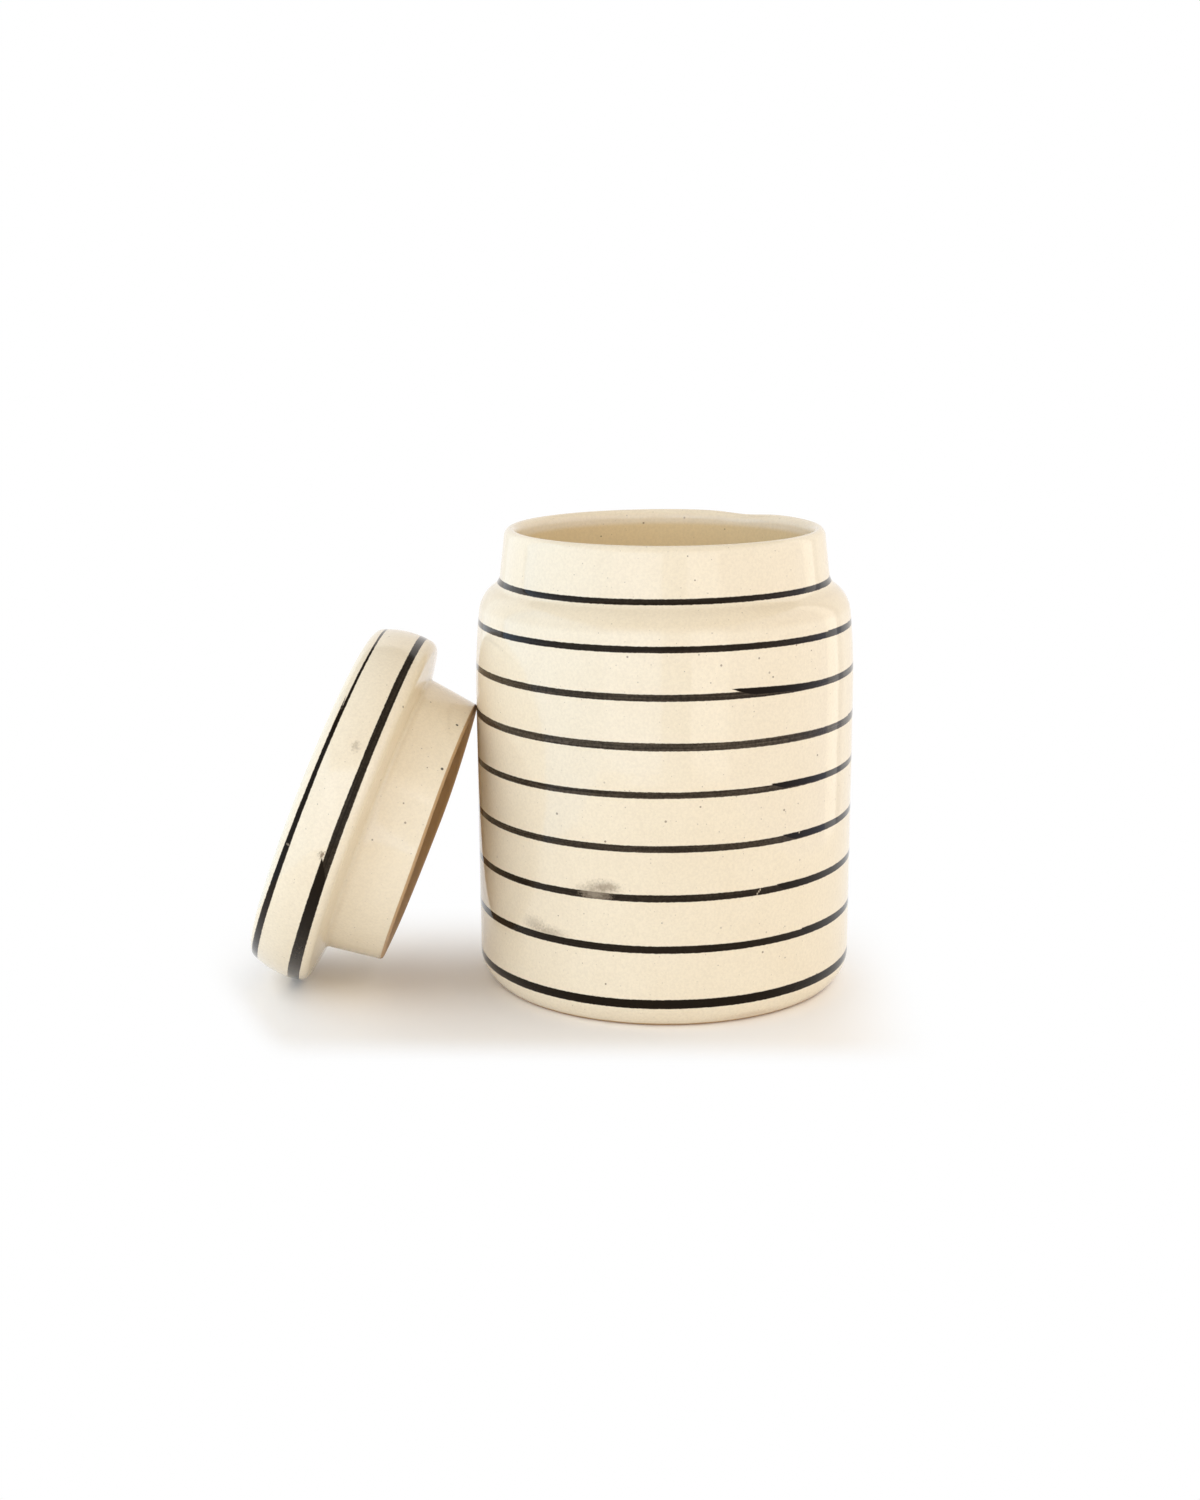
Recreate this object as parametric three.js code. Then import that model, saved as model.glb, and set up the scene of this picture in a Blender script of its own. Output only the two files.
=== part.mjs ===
// Wheel-thrown storage jar with a drop-in lid, glazed cream inside and out.
// Millimetres, +Z up. The jar stands on the origin, and its lid has been lifted off and leans on the
// jar's left side: the lid's edge is on the table and the free rim of its plug is against the wall.
import * as THREE from "three";

// Jar, measured to the outside of the clay
const bodyRadius = 52.4; // straight part of the side
const jarHeight = 126.6; // table to the top of the lip
const wall = 4.6; // thickness of the thrown wall
const floorThickness = 5.4;
const floorCurve = 12; // inside corner between the wall and the floor
const footInset = 3.9; // how far the foot stands in from the side
const footCurve = 9; // rounded turn from the side in to the foot
const taperStart = 82.6; // height where the side begins to draw in
const taperCurve = 195; // the long, slow curve of the upper side
const taperAngle = 6.3; // degrees from upright where the shoulder begins
const shoulderCurve = 9.1;
const neckInset = 7.1; // how far the foot of the neck stands in from the side
const neckCurve = 4.9; // hollow curve between the shoulder and the neck
const neckLean = 6.7; // degrees by which the neck narrows upwards
const lipThickness = 3.7;
const lipRise = 2.6; // height of the rounded top of the lip

// The lip sags a little at one place, where a thumb slowed the turning clay
const dipDepth = 0.7;
const dipBearing = 56; // degrees from +X towards +Y
const dipSpread = 11; // degrees
const dipFade = 12; // height below the lip in which the sag dies out

// Lid, measured along its own axis from the free rim of the plug
const plugClearance = 0.2; // play between the root of the plug and the jar's mouth
const plugTaper = 1.9; // how much narrower the plug is at its free rim
const plugLength = 15.2; // free rim to the ledge that sits on the jar's lip
const plugWall = 3.4;
const plugEdge = 1.1; // rounding of the free rim
const plugFillet = 1.4; // hollow corner between the plug and the ledge
const plugShift = 0.7; // the hand-thrown plug stands this far off the lid's middle
const lidInset = 1.1; // the lid's side stands this far in from the jar's side
const ledgeAngle = 7; // degrees by which the ledge rises away from the plug
const ledgeEdge = 2.9; // rounding between the ledge and the lid's side
const sideCurve = 23.5; // bulging side of the lid
const sideLow = -9.5; // degrees round the bulge where the side begins
const sideHigh = 24; // degrees round the bulge where the side ends
const topEdge = 3; // rounding between the side and the top
const topCrown = 1.4; // how much the top swells at its middle
const topThickness = 6.4;
const hollowCurve = 8; // inside corner between the plug's wall and the top

// How the lid has been put down
const leanAngle = 68.6; // degrees between the lid's axis and upright
const leanTurn = 1.3; // degrees by which its open side turns to the front
const leanForward = 6; // the lid's middle stands this far in front of the jar's middle
const leanGap = 0.3; // air left between the lid and the wall it leans on

const segments = 64;

const radians = THREE.MathUtils.degToRad;

// Points of an arc round (x, y), from one direction to another in radians
function arc(x, y, radius, from, to, steps) {
  const clockwise = to < from;
  return new THREE.EllipseCurve(x, y, radius, radius, from, to, clockwise).getPoints(steps);
}

// A closed solid of revolution about +Z from a profile of (radius, height)
function turned(profile) {
  const geometry = new THREE.LatheGeometry(profile, segments);
  geometry.rotateX(Math.PI / 2);
  return geometry;
}

// Side, shoulder and neck of the jar, drawn as far inside the outer face as inset says
function jarFace(inset) {
  const slope = radians(taperAngle);
  const taper = new THREE.Vector2(bodyRadius - taperCurve, taperStart);
  const toShoulder = new THREE.Vector2(Math.cos(slope), Math.sin(slope));
  const shoulder = taper.clone().addScaledVector(toShoulder, taperCurve - shoulderCurve);
  const lean = radians(neckLean);
  const hollowX = bodyRadius - neckInset + neckCurve * Math.cos(lean);
  const reach = shoulderCurve + neckCurve;
  const rise = Math.sqrt(reach ** 2 - (hollowX - shoulder.x) ** 2);
  const hollow = new THREE.Vector2(hollowX, shoulder.y + rise);
  const turn = Math.atan2(rise, hollow.x - shoulder.x);
  return [
    ...arc(taper.x, taper.y, taperCurve - inset, 0, slope, 5),
    ...arc(shoulder.x, shoulder.y, Math.max(shoulderCurve - inset, 1), slope, turn, 6).slice(1),
    ...arc(hollow.x, hollow.y, neckCurve + inset, Math.PI + turn, Math.PI + lean, 5).slice(1),
  ];
}

// Rounded foot, from the table up to the side
function footFace() {
  const centre = bodyRadius - footCurve;
  const reach = bodyRadius - footInset - centre;
  const start = -Math.acos(reach / footCurve);
  return arc(centre, -footCurve * Math.sin(start), footCurve, start, 0, 6);
}

// The lip is half an ellipse, whose outer end runs on from the leaning neck
const outside = [...footFace(), ...jarFace(0)];
const neckFoot = outside.at(-1);
const lipHalf = lipThickness / 2;
const lipStart = Math.atan((lipRise / lipHalf) * Math.tan(radians(neckLean)));
const lipBase = jarHeight - lipRise;
const lipOuterHeight = lipBase + lipRise * Math.sin(lipStart);
const lipOuter = neckFoot.x - Math.tan(radians(neckLean)) * (lipOuterHeight - neckFoot.y);
const lipCentre = lipOuter - lipHalf * Math.cos(lipStart);
const mouthRadius = lipCentre - lipHalf;
const lipTop = Math.PI / 2;
const lipFront = new THREE.EllipseCurve(lipCentre, lipBase, lipHalf, lipRise, lipStart, lipTop);
const lipBack = new THREE.EllipseCurve(lipCentre, lipBase, lipHalf, lipRise, lipTop, Math.PI);
outside.push(...lipFront.getPoints(4), ...lipBack.getPoints(4).slice(1));

function jarProfile() {
  const floorCorner = bodyRadius - wall - floorCurve;
  return [
    new THREE.Vector2(0, 0),
    ...outside,
    ...jarFace(wall).reverse(),
    ...arc(floorCorner, floorThickness + floorCurve, floorCurve, 0, -Math.PI / 2, 6),
    new THREE.Vector2(0, floorThickness),
  ];
}

// Lowers the lip where it sags
function sagLip(geometry) {
  const position = geometry.getAttribute("position");
  const point = new THREE.Vector3();
  for (let i = 0; i < position.count; i++) {
    point.fromBufferAttribute(position, i);
    const bearing = THREE.MathUtils.radToDeg(Math.atan2(point.y, point.x));
    const share = THREE.MathUtils.smoothstep(point.z, jarHeight - dipFade, jarHeight);
    const dip = dipDepth * Math.exp(-(((bearing - dipBearing) / dipSpread) ** 2));
    position.setZ(i, point.z - dip * share);
  }
}

// Outside radius of the jar at a height, read off its own outline
function jarRadiusAt(height) {
  const above = outside.findIndex((point) => point.y >= height);
  if (above < 1) return outside[0].x;
  const [low, high] = [outside[above - 1], outside[above]];
  return THREE.MathUtils.mapLinear(height, low.y, high.y, low.x, high.x);
}

// Two runs of the lid's profile: the plug with its hollow, which fits the jar's mouth, and then the
// disc above it, whose side lines up with the jar's side
function lidProfile() {
  const plugRoot = mouthRadius - plugClearance;
  const plugTip = plugRoot - plugTaper;
  const plugLean = Math.atan(plugTaper / plugLength);
  const boreRadius = plugTip - plugWall;
  const ledge = radians(ledgeAngle);
  const low = radians(sideLow);
  const high = radians(sideHigh);

  const bulgeX = bodyRadius - lidInset - sideCurve;
  const ledgeEdgeX = bulgeX + (sideCurve - ledgeEdge) * Math.cos(low);
  const ledgeEdgeY = plugLength + Math.tan(ledge) * (ledgeEdgeX - plugRoot) + ledgeEdge / Math.cos(ledge);
  const bulgeY = ledgeEdgeY - (sideCurve - ledgeEdge) * Math.sin(low);
  const topEdgeX = bulgeX + (sideCurve - topEdge) * Math.cos(high);
  const topEdgeY = bulgeY + (sideCurve - topEdge) * Math.sin(high);

  // The top is a shallow cap that runs on from its rounded edge
  const capAngle = 2 * Math.atan(topCrown / topEdgeX);
  const capRadius = topEdgeX / Math.sin(capAngle);
  const top = topEdgeY + topEdge + topCrown;
  const ceiling = top - topThickness;

  // The fillet touches both the sloping plug and the rising ledge
  const opening = Math.PI / 2 - ledge + plugLean;
  const filletReach = plugFillet / Math.tan(opening / 2);
  const filletX = plugRoot - filletReach * Math.sin(plugLean) + plugFillet * Math.cos(plugLean);
  const filletY = plugLength - filletReach * Math.cos(plugLean) - plugFillet * Math.sin(plugLean);

  const plug = [
    new THREE.Vector2(0, ceiling),
    ...arc(boreRadius - hollowCurve, ceiling - hollowCurve, hollowCurve, Math.PI / 2, 0, 5),
    ...arc(boreRadius + plugEdge, plugEdge, plugEdge, -Math.PI, -Math.PI / 2, 3),
    ...arc(plugTip - plugEdge, plugEdge, plugEdge, -Math.PI / 2, 0, 3),
    ...arc(filletX, filletY, plugFillet, Math.PI + plugLean, Math.PI / 2 + ledge, 3),
  ];
  const disc = [
    ...arc(ledgeEdgeX, ledgeEdgeY, ledgeEdge, ledge - Math.PI / 2, low, 4),
    ...arc(bulgeX, bulgeY, sideCurve, low, high, 7).slice(1),
    ...arc(topEdgeX, topEdgeY, topEdge, high, Math.PI / 2 - capAngle, 4).slice(1),
    ...arc(0, top - capRadius, capRadius, Math.PI / 2 - capAngle, Math.PI / 2, 4).slice(1),
  ];
  return { plug, disc };
}

// Turns the lid's profile, and moves the plug's share of each of its copies off the middle
function lidGeometry() {
  const { plug, disc } = lidProfile();
  const geometry = turned([...plug, ...disc]);
  const position = geometry.getAttribute("position");
  const copy = plug.length + disc.length;
  for (let i = 0; i < position.count; i++) {
    if (i % copy < plug.length) position.setX(i, position.getX(i) + plugShift);
  }
  return geometry;
}

// Turns the lid as it leans, then sets it on the table and moves it up to the wall
function leanLid(lid) {
  lid.rotation.set(0, -radians(leanAngle), -radians(leanTurn), "ZYX");
  const position = lid.geometry.getAttribute("position");
  const corners = [];
  for (let i = 0; i < position.count; i++) {
    corners.push(new THREE.Vector3().fromBufferAttribute(position, i).applyEuler(lid.rotation));
  }
  lid.position.y = -leanForward;
  lid.position.z = -Math.min(...corners.map((corner) => corner.z));
  lid.position.x = Infinity;
  for (const corner of corners) {
    const depth = corner.y + lid.position.y;
    const height = corner.z + lid.position.z;
    const clear = jarRadiusAt(height) + leanGap;
    if (Math.abs(depth) < clear && height < jarHeight) {
      const wallX = -Math.sqrt(clear ** 2 - depth ** 2);
      lid.position.x = Math.min(lid.position.x, wallX - corner.x);
    }
  }
}

const glaze = new THREE.MeshStandardMaterial({ color: 0xeee0c8, roughness: 0.2, metalness: 0 });

const jarGeometry = turned(jarProfile());
sagLip(jarGeometry);
const jar = new THREE.Mesh(jarGeometry, glaze);
jar.name = "jar_body";

const lid = new THREE.Mesh(lidGeometry(), glaze.clone());
lid.name = "lid";
leanLid(lid);

const storageJar = new THREE.Group();
storageJar.add(jar, lid);

export default storageJar;
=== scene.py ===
# Wheel-thrown storage jar, glazed cream with painted hoops, and its lid, which leans against the jar
from math import acos, atan, atan2, cos, degrees, exp, hypot, pi, radians, sin, tan

import bmesh
import bpy
from mathutils import Matrix, Vector


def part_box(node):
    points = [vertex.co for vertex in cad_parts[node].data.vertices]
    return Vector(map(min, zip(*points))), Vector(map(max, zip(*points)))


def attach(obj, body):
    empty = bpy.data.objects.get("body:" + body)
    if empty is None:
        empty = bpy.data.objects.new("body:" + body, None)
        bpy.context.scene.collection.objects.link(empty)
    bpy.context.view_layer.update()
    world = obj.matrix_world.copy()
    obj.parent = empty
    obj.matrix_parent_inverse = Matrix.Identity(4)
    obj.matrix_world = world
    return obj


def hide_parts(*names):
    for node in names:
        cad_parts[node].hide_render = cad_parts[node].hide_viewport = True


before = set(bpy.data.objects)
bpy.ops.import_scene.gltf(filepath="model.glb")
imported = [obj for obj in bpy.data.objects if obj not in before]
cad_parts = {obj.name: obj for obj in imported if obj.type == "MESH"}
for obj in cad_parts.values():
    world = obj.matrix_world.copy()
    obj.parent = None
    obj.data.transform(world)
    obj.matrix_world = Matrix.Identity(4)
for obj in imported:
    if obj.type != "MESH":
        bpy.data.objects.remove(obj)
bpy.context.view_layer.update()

mm = 0.001  # sizes below are in millimetres, and angles in degrees
weld = 0.001  # points nearer to each other than this become one
rgb = {
    "glaze": (0.945, 0.81, 0.60),
    # warmer clay tint for random clouds, and for the bands of pooled glaze and painted shade in creases
    "warmGlaze": (0.80, 0.64, 0.42),
    # painted shade for the inside of the jar
    "insideGlaze": (0.87, 0.68, 0.39),
    "paint": (0.012, 0.008, 0.005),
    "thinPaint": (0.20, 0.155, 0.11),
    "dullShine": (0.14, 0.11, 0.08),
    "iron": (0.16, 0.085, 0.045),
    "darkIron": (0.012, 0.008, 0.006),
    "brownClay": (0.58, 0.37, 0.185),
    "pinkClay": (0.60, 0.42, 0.28),
    "smudge": (0.26, 0.185, 0.115),
}


def addObject(name, data):
    made = bpy.data.objects.new(name, data)
    bpy.context.scene.collection.objects.link(made)
    return made


# An object from a bmesh that was drawn in millimetres
def addMesh(name, bm, material):
    bmesh.ops.scale(bm, vec=(mm, mm, mm), verts=bm.verts[:])
    mesh = bpy.data.meshes.new(name)
    bm.to_mesh(mesh)
    bm.free()
    mesh.materials.append(material)
    return addObject(name, mesh)


# Camera, as it stood for the photograph

camera = {
    "lens": 48.34, "sensor": 36,  # across the long side of the picture
    "place": (0, -552.2, 192.6),
    "turn": 1.87, "down": 13.15, "tilt": -0.34,
    "clip": (0.01, 20),  # metres
}


def makeCamera():
    data = bpy.data.cameras.new("camera")
    data.lens, data.sensor_width = camera["lens"], camera["sensor"]
    data.clip_start, data.clip_end = camera["clip"]
    made = addObject("camera", data)
    turn = Matrix.Rotation(radians(camera["turn"]), 4, "Z")
    down = Matrix.Rotation(radians(90 - camera["down"]), 4, "X")
    tilt = Matrix.Rotation(radians(camera["tilt"]), 4, "Z")
    made.matrix_world = Matrix.Translation(Vector(camera["place"]) * mm) @ turn @ down @ tilt
    bpy.context.scene.camera = made
    print("camera set")


# Outlines: a point is drawn along lines and spun round centres, and the whole line is then thrown
# round the upright axis, as the potter's wheel does

class Outline:
    def __init__(self, x, z):
        self.bm = bmesh.new()
        self.tip = self.bm.verts.new((x, 0, z))

    def line(self, x, z, steps=1):
        start = self.tip.co.copy()
        for step in range(1, steps + 1):
            self.tip = bmesh.ops.extrude_vert_indiv(self.bm, verts=[self.tip])["verts"][0]
            self.tip.co = start.lerp(Vector((x, 0, z)), step / steps)

    # angle is in radians, and positive from +X towards +Z
    def arc(self, centre, angle, steps):
        spun = bmesh.ops.spin(self.bm, geom=[self.tip], cent=(centre[0], 0, centre[1]), axis=(0, -1, 0),
                              angle=angle, steps=steps)
        self.tip = next(g for g in spun["geom_last"] if isinstance(g, bmesh.types.BMVert))

    def throw(self, sectors):
        bm = self.bm
        bmesh.ops.spin(bm, geom=bm.verts[:] + bm.edges[:], cent=(0, 0, 0), axis=(0, 0, 1),
                       angle=2 * pi, steps=sectors, use_merge=True)
        bmesh.ops.remove_doubles(bm, verts=bm.verts[:], dist=weld)
        bmesh.ops.recalc_face_normals(bm, faces=bm.faces[:])
        return bm


# The point of an arc round centre in the direction of angle
def onArc(centre, radius, angle):
    return centre[0] + radius * cos(angle), centre[1] + radius * sin(angle)


def smoothStep(value, low, high):
    share = min(max((value - low) / (high - low), 0), 1)
    return share ** 2 * (3 - 2 * share)


def finishPiece(bm, name, body, node, material):
    piece = addMesh(name, bm, material)
    piece.data.shade_smooth()
    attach(piece, body)
    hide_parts(node)
    print(name, "has", len(piece.data.polygons), "faces")


# Node helpers. An input is given by its name or number, and is a value or another node's output.

def addNode(tree, kind, inputs=None, **settings):
    made = tree.nodes.new("ShaderNode" + kind)
    for name, value in settings.items():
        setattr(made, name, value)
    for key, value in (inputs or {}).items():
        if isinstance(value, bpy.types.NodeSocket):
            tree.links.new(value, made.inputs[key])
        else:
            made.inputs[key].default_value = value
    return made


def calc(tree, operation, *values):
    return addNode(tree, "Math", dict(enumerate(values)), operation=operation).outputs[0]


# Value, less the share of it that mask covers
def without(tree, value, mask):
    return calc(tree, "MULTIPLY", value, calc(tree, "SUBTRACT", 1.0, mask))


# Smooth step from toLow at low to toHigh at high
def ramp(tree, value, low, high, toLow=0.0, toHigh=1.0):
    inputs = {"Value": value, "From Min": low, "From Max": high, "To Min": toLow, "To Max": toHigh}
    return addNode(tree, "MapRange", inputs, interpolation_type="SMOOTHSTEP").outputs["Result"]


# Whole from low to high, and gone soft beyond them
def within(tree, value, low, high, soft):
    return calc(tree, "MULTIPLY", ramp(tree, value, low - soft, low), ramp(tree, value, high + soft, high))


# Scale counts the noise's features in a millimetre
def noise(tree, point, scale, detail=2.0, roughness=0.5):
    inputs = {"Vector": point, "Scale": scale, "Detail": detail, "Roughness": roughness}
    return addNode(tree, "TexNoise", inputs).outputs["Fac"]


# The same, as a departure to either side of 0
def wander(tree, point, scale, detail=2.0, roughness=0.5):
    return calc(tree, "SUBTRACT", noise(tree, point, scale, detail, roughness), 0.5)


def opaque(color):
    return color if isinstance(color, bpy.types.NodeSocket) else (*color, 1)


def mixColor(tree, share, first, second):
    inputs = {0: share, 6: opaque(first), 7: opaque(second)}  # a Mix node's colours are inputs 6 and 7
    return addNode(tree, "Mix", inputs, data_type="RGBA").outputs[2]


def mixValue(tree, share, first, second):
    inputs = {0: share, 2: first, 3: second}  # and its numbers are inputs 2 and 3
    return addNode(tree, "Mix", inputs, data_type="FLOAT").outputs[0]


def vector(tree, operation, first, second):
    return addNode(tree, "VectorMath", {0: first, 1: second}, operation=operation).outputs[0]


# Distance from the upright axis
def fromAxis(tree, x, y):
    return calc(tree, "SQRT", calc(tree, "ADD", calc(tree, "MULTIPLY", x, x), calc(tree, "MULTIPLY", y, y)))


# A node group with one output. Its inputs are numbers, apart from places and sizes in millimetres.
def newGroup(name, inputs, output):
    tree = bpy.data.node_groups.new(name, "ShaderNodeTree")
    for socket in inputs:
        kind = "NodeSocketVector" if socket in ("Point", "Centre", "Size") else "NodeSocketFloat"
        tree.interface.new_socket(name=socket, in_out="INPUT", socket_type=kind)
    tree.interface.new_socket(name=output, in_out="OUTPUT", socket_type="NodeSocketFloat")
    return tree, tree.nodes.new("NodeGroupInput").outputs, tree.nodes.new("NodeGroupOutput").inputs[0]


def newMaterial(name):
    material = bpy.data.materials.new(name)
    material.use_nodes = True
    material.node_tree.nodes.clear()
    return material


# A painted hoop: the brush is set down at a bearing, the jar turns once and a little more, and the
# end of the stroke runs over its own start

brush = {
    "softness": 0.12,
    # how far noise moves the stroke up and down, widens it and frays its edge, and that noise's scale
    "waver": 0.3, "waverScale": 0.03,
    "swell": 0.2, "swellScale": 0.06,
    "fray": 0.25, "frayScale": 1.1,
    "settle": 32.0,  # length in which a stroke comes down to its level
    "lead": 0.4, "opening": 0.6,  # where the wedge begins before the stroke, and the power it opens with
    "black": (4.0, 45.0),  # lengths up to which the paint is fresh, and from which it is spent
    "lift": 9.0,  # length in which the brush is lifted off
    "gone": 0.001,  # a brush that presses less than this paints nothing
}


def hoopGroup():
    inputs = ["Point", "Height", "Half Width", "Thinning", "Press", "Tilt X", "Tilt Y", "Start", "Turn",
              "Overlap", "Offset", "Wedge", "Fresh", "Spent"]
    tree, start, end = newGroup("paintedHoop", inputs, "Paint")
    point = start["Point"]
    x, y, z = addNode(tree, "SeparateXYZ", {0: point}).outputs
    radius = fromAxis(tree, x, y)
    cosine, sine = calc(tree, "DIVIDE", x, radius), calc(tree, "DIVIDE", y, radius)
    passed = calc(tree, "SUBTRACT", calc(tree, "ARCTAN2", y, x), start["Start"])
    passed = calc(tree, "MULTIPLY", passed, start["Turn"])
    around = calc(tree, "FRACT", calc(tree, "DIVIDE", passed, 2 * pi))
    along = calc(tree, "MULTIPLY", calc(tree, "MULTIPLY", around, 2 * pi), radius)

    level = calc(tree, "ADD", start["Height"], calc(tree, "MULTIPLY", cosine, start["Tilt X"]))
    level = calc(tree, "ADD", level, calc(tree, "MULTIPLY", sine, start["Tilt Y"]))
    waver = wander(tree, point, brush["waverScale"], detail=1.0)
    level = calc(tree, "MULTIPLY_ADD", waver, brush["waver"], level)
    above = calc(tree, "SUBTRACT", z, level)

    # The brush holds less paint towards the end of the turn, and may press harder on the -X side
    full = calc(tree, "MULTIPLY_ADD", wander(tree, point, brush["swellScale"]), brush["swell"], 1.0)
    full = calc(tree, "SUBTRACT", full, calc(tree, "MULTIPLY", cosine, start["Press"]))
    full = calc(tree, "MULTIPLY", full, start["Half Width"])
    half = without(tree, full, calc(tree, "MULTIPLY", around, start["Thinning"]))
    last = without(tree, full, start["Thinning"])
    fringe = wander(tree, point, brush["frayScale"])

    def stroke(offset, halfWidth):
        off = calc(tree, "ABSOLUTE", calc(tree, "SUBTRACT", above, offset))
        off = calc(tree, "MULTIPLY_ADD", fringe, brush["fray"], off)
        beyond = calc(tree, "SUBTRACT", off, halfWidth)
        return ramp(tree, beyond, brush["softness"], -brush["softness"])

    # A stroke starts as a thin wedge that keeps its upper edge
    settling = ramp(tree, along, 0.0, brush["settle"], 1.0, 0.0)
    wedge = calc(tree, "POWER", ramp(tree, along, -brush["lead"], start["Wedge"]), brush["opening"])
    narrow = calc(tree, "MULTIPLY", half, wedge)
    rise = calc(tree, "MULTIPLY_ADD", start["Offset"], settling, calc(tree, "SUBTRACT", half, narrow))
    fade = ramp(tree, along, *brush["black"], start["Fresh"], start["Spent"])
    fresh = calc(tree, "MULTIPLY", stroke(rise, narrow), fade)

    # Its end lies over its start, until the brush is lifted
    lifting = ramp(tree, calc(tree, "SUBTRACT", start["Overlap"], along), 0.0, brush["lift"])
    spent = stroke(0.0, calc(tree, "MULTIPLY", last, lifting))
    spent = calc(tree, "MULTIPLY", spent, start["Spent"])
    spent = calc(tree, "MULTIPLY", spent, calc(tree, "GREATER_THAN", lifting, brush["gone"]))
    tree.links.new(calc(tree, "MAXIMUM", fresh, spent), end)
    return tree


# Specks and smudges: how their edges fray, how soft a speck's edge is, and how faint it may be

marks = {"frayScale": 1.5, "softness": 0.12, "faintest": 0.35}


# A speck or smudge: whole within Core of its size, and gone at its edge
def spotGroup():
    tree, start, end = newGroup("spot", ["Point", "Centre", "Size", "Ragged", "Core"], "Mask")
    off = vector(tree, "DIVIDE", vector(tree, "SUBTRACT", start["Point"], start["Centre"]), start["Size"])
    far = addNode(tree, "VectorMath", {0: off}, operation="LENGTH").outputs["Value"]
    ragged = wander(tree, start["Point"], marks["frayScale"], detail=3.0)
    far = calc(tree, "MULTIPLY_ADD", ragged, start["Ragged"], far)
    tree.links.new(ramp(tree, far, 1.0, start["Core"]), end)
    return tree


# Iron specks: one at most in each cell, of its own size and strength
def specksGroup():
    tree, start, end = newGroup("specks", ["Point", "Cell", "Reach", "Share"], "Mask")
    scale = calc(tree, "DIVIDE", 1.0, start["Cell"])
    cells = addNode(tree, "TexVoronoi", {"Vector": start["Point"], "Scale": scale})
    size, chance, strength = addNode(tree, "SeparateColor", {0: cells.outputs["Color"]}).outputs
    far = calc(tree, "MULTIPLY", cells.outputs["Distance"], start["Cell"])
    beyond = calc(tree, "SUBTRACT", far, calc(tree, "MULTIPLY", size, start["Reach"]))
    dot = ramp(tree, beyond, 0.0, -marks["softness"])
    dot = calc(tree, "MULTIPLY", dot, ramp(tree, strength, 0.0, 1.0, marks["faintest"], 1.0))
    tree.links.new(calc(tree, "MULTIPLY", dot, calc(tree, "LESS_THAN", chance, start["Share"])), end)
    return tree


groups = {"hoop": hoopGroup(), "spot": spotGroup(), "specks": specksGroup()}
print("brush and specks ready")


# The glaze, and what is on it. at holds where a point of the clay lies.

noiseSpan = (0.3, 0.7)  # noise seldom leaves this
glaze = {
    "ior": 1.5, "roughness": (0.04, 0.08), "roughnessScale": 0.12, "bareRoughness": 0.75,
    # clouds of warmer clay: scale of the noise, values where they begin and are whole, and strength
    "clouds": [(0.035, 0.35, 0.75, 0.10), (0.13, 0.4, 0.75, 0.07)],
    "grainScale": 1.3, "grainSpan": (0.32, 0.7), "grain": 0.08,
    # cell, largest radius, share of the cells, strength and tint
    "specks": [
        (1.1, 0.24, 0.5, 0.45, "iron"),
        (3.0, 0.36, 0.4, 0.75, "iron"),
        (9.0, 0.42, 0.3, 0.9, "darkIron"),
    ],
    "fleckStrength": {"iron": 0.65, "darkIron": 0.9}, "fleckRagged": 0.4, "fleckCore": 0.5,
    "wipeRagged": 0.9, "wipeCore": 0.1,
    # the paint streaks along the brush, and turns to thin paint where this share of it is missing
    "streaks": (0.05, 0.05, 2.4), "streakStrength": (0.7, 1.3), "grainStrength": (0.75, 1.25), "thin": 0.25,
    "painted": (0.05, 0.75),  # the paint hides the glaze between these
    "bareScale": 0.25, "patchScale": 0.3, "patches": 0.25, "paler": 0.45,  # the edge and tint of bare clay
    # scale and height of the waves, throwing rings and peel in the glaze and of the pits in bare clay
    "waves": (0.16, 0.07), "rings": ((0.02, 0.02, 0.35), 0.02), "peel": (0.9, 0.006), "pits": (4.0, 0.08),
    "bump": 0.7,
}
# What a hoop has where its own entry is silent: how far it rises towards +X and +Y, the way round it
# goes, the share of its width that it loses on the way or gains on the -X side, how far its end runs
# over its start, how far above its level it starts, the length of its first wedge, and how much of
# its black is left when it is spent
hoopUsual = {
    "tilt": (0, 0), "turn": 1.0, "thinning": 0.0, "press": 0.0, "overlap": 45.0, "offset": 0.2,
    "wedge": 5.0, "spent": 0.93,
}


# place is the piece's own frame: its turns in radians and its origin in metres
def locate(tree, place, middle):
    where = addNode(tree, "TexCoord").outputs["Object"]
    inputs = {"Vector": where, "Location": place["origin"], "Rotation": place["turns"]}
    own = addNode(tree, "Mapping", inputs, vector_type="TEXTURE").outputs[0]
    point = vector(tree, "MULTIPLY", own, (1 / mm, 1 / mm, 1 / mm))
    x, y, height = addNode(tree, "SeparateXYZ", {0: point}).outputs
    radius = fromAxis(tree, x, y)
    parting = ramp(tree, height, *middle["heights"], *middle["radii"])
    inside = ramp(tree, calc(tree, "SUBTRACT", radius, parting), middle["soft"], -middle["soft"])
    return {"point": point, "x": x, "height": height, "radius": radius, "inside": inside}


# Mask of a spot whose place is a radius, a bearing in degrees and a height
def spot(tree, at, place, size, ragged, core):
    radius, bearing, height = place
    centre = radius * cos(radians(bearing)), radius * sin(radians(bearing)), height
    inputs = {"Point": at["point"], "Centre": centre, "Size": size, "Ragged": ragged, "Core": core}
    return addNode(tree, "Group", inputs, node_tree=groups["spot"]).outputs[0]
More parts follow.
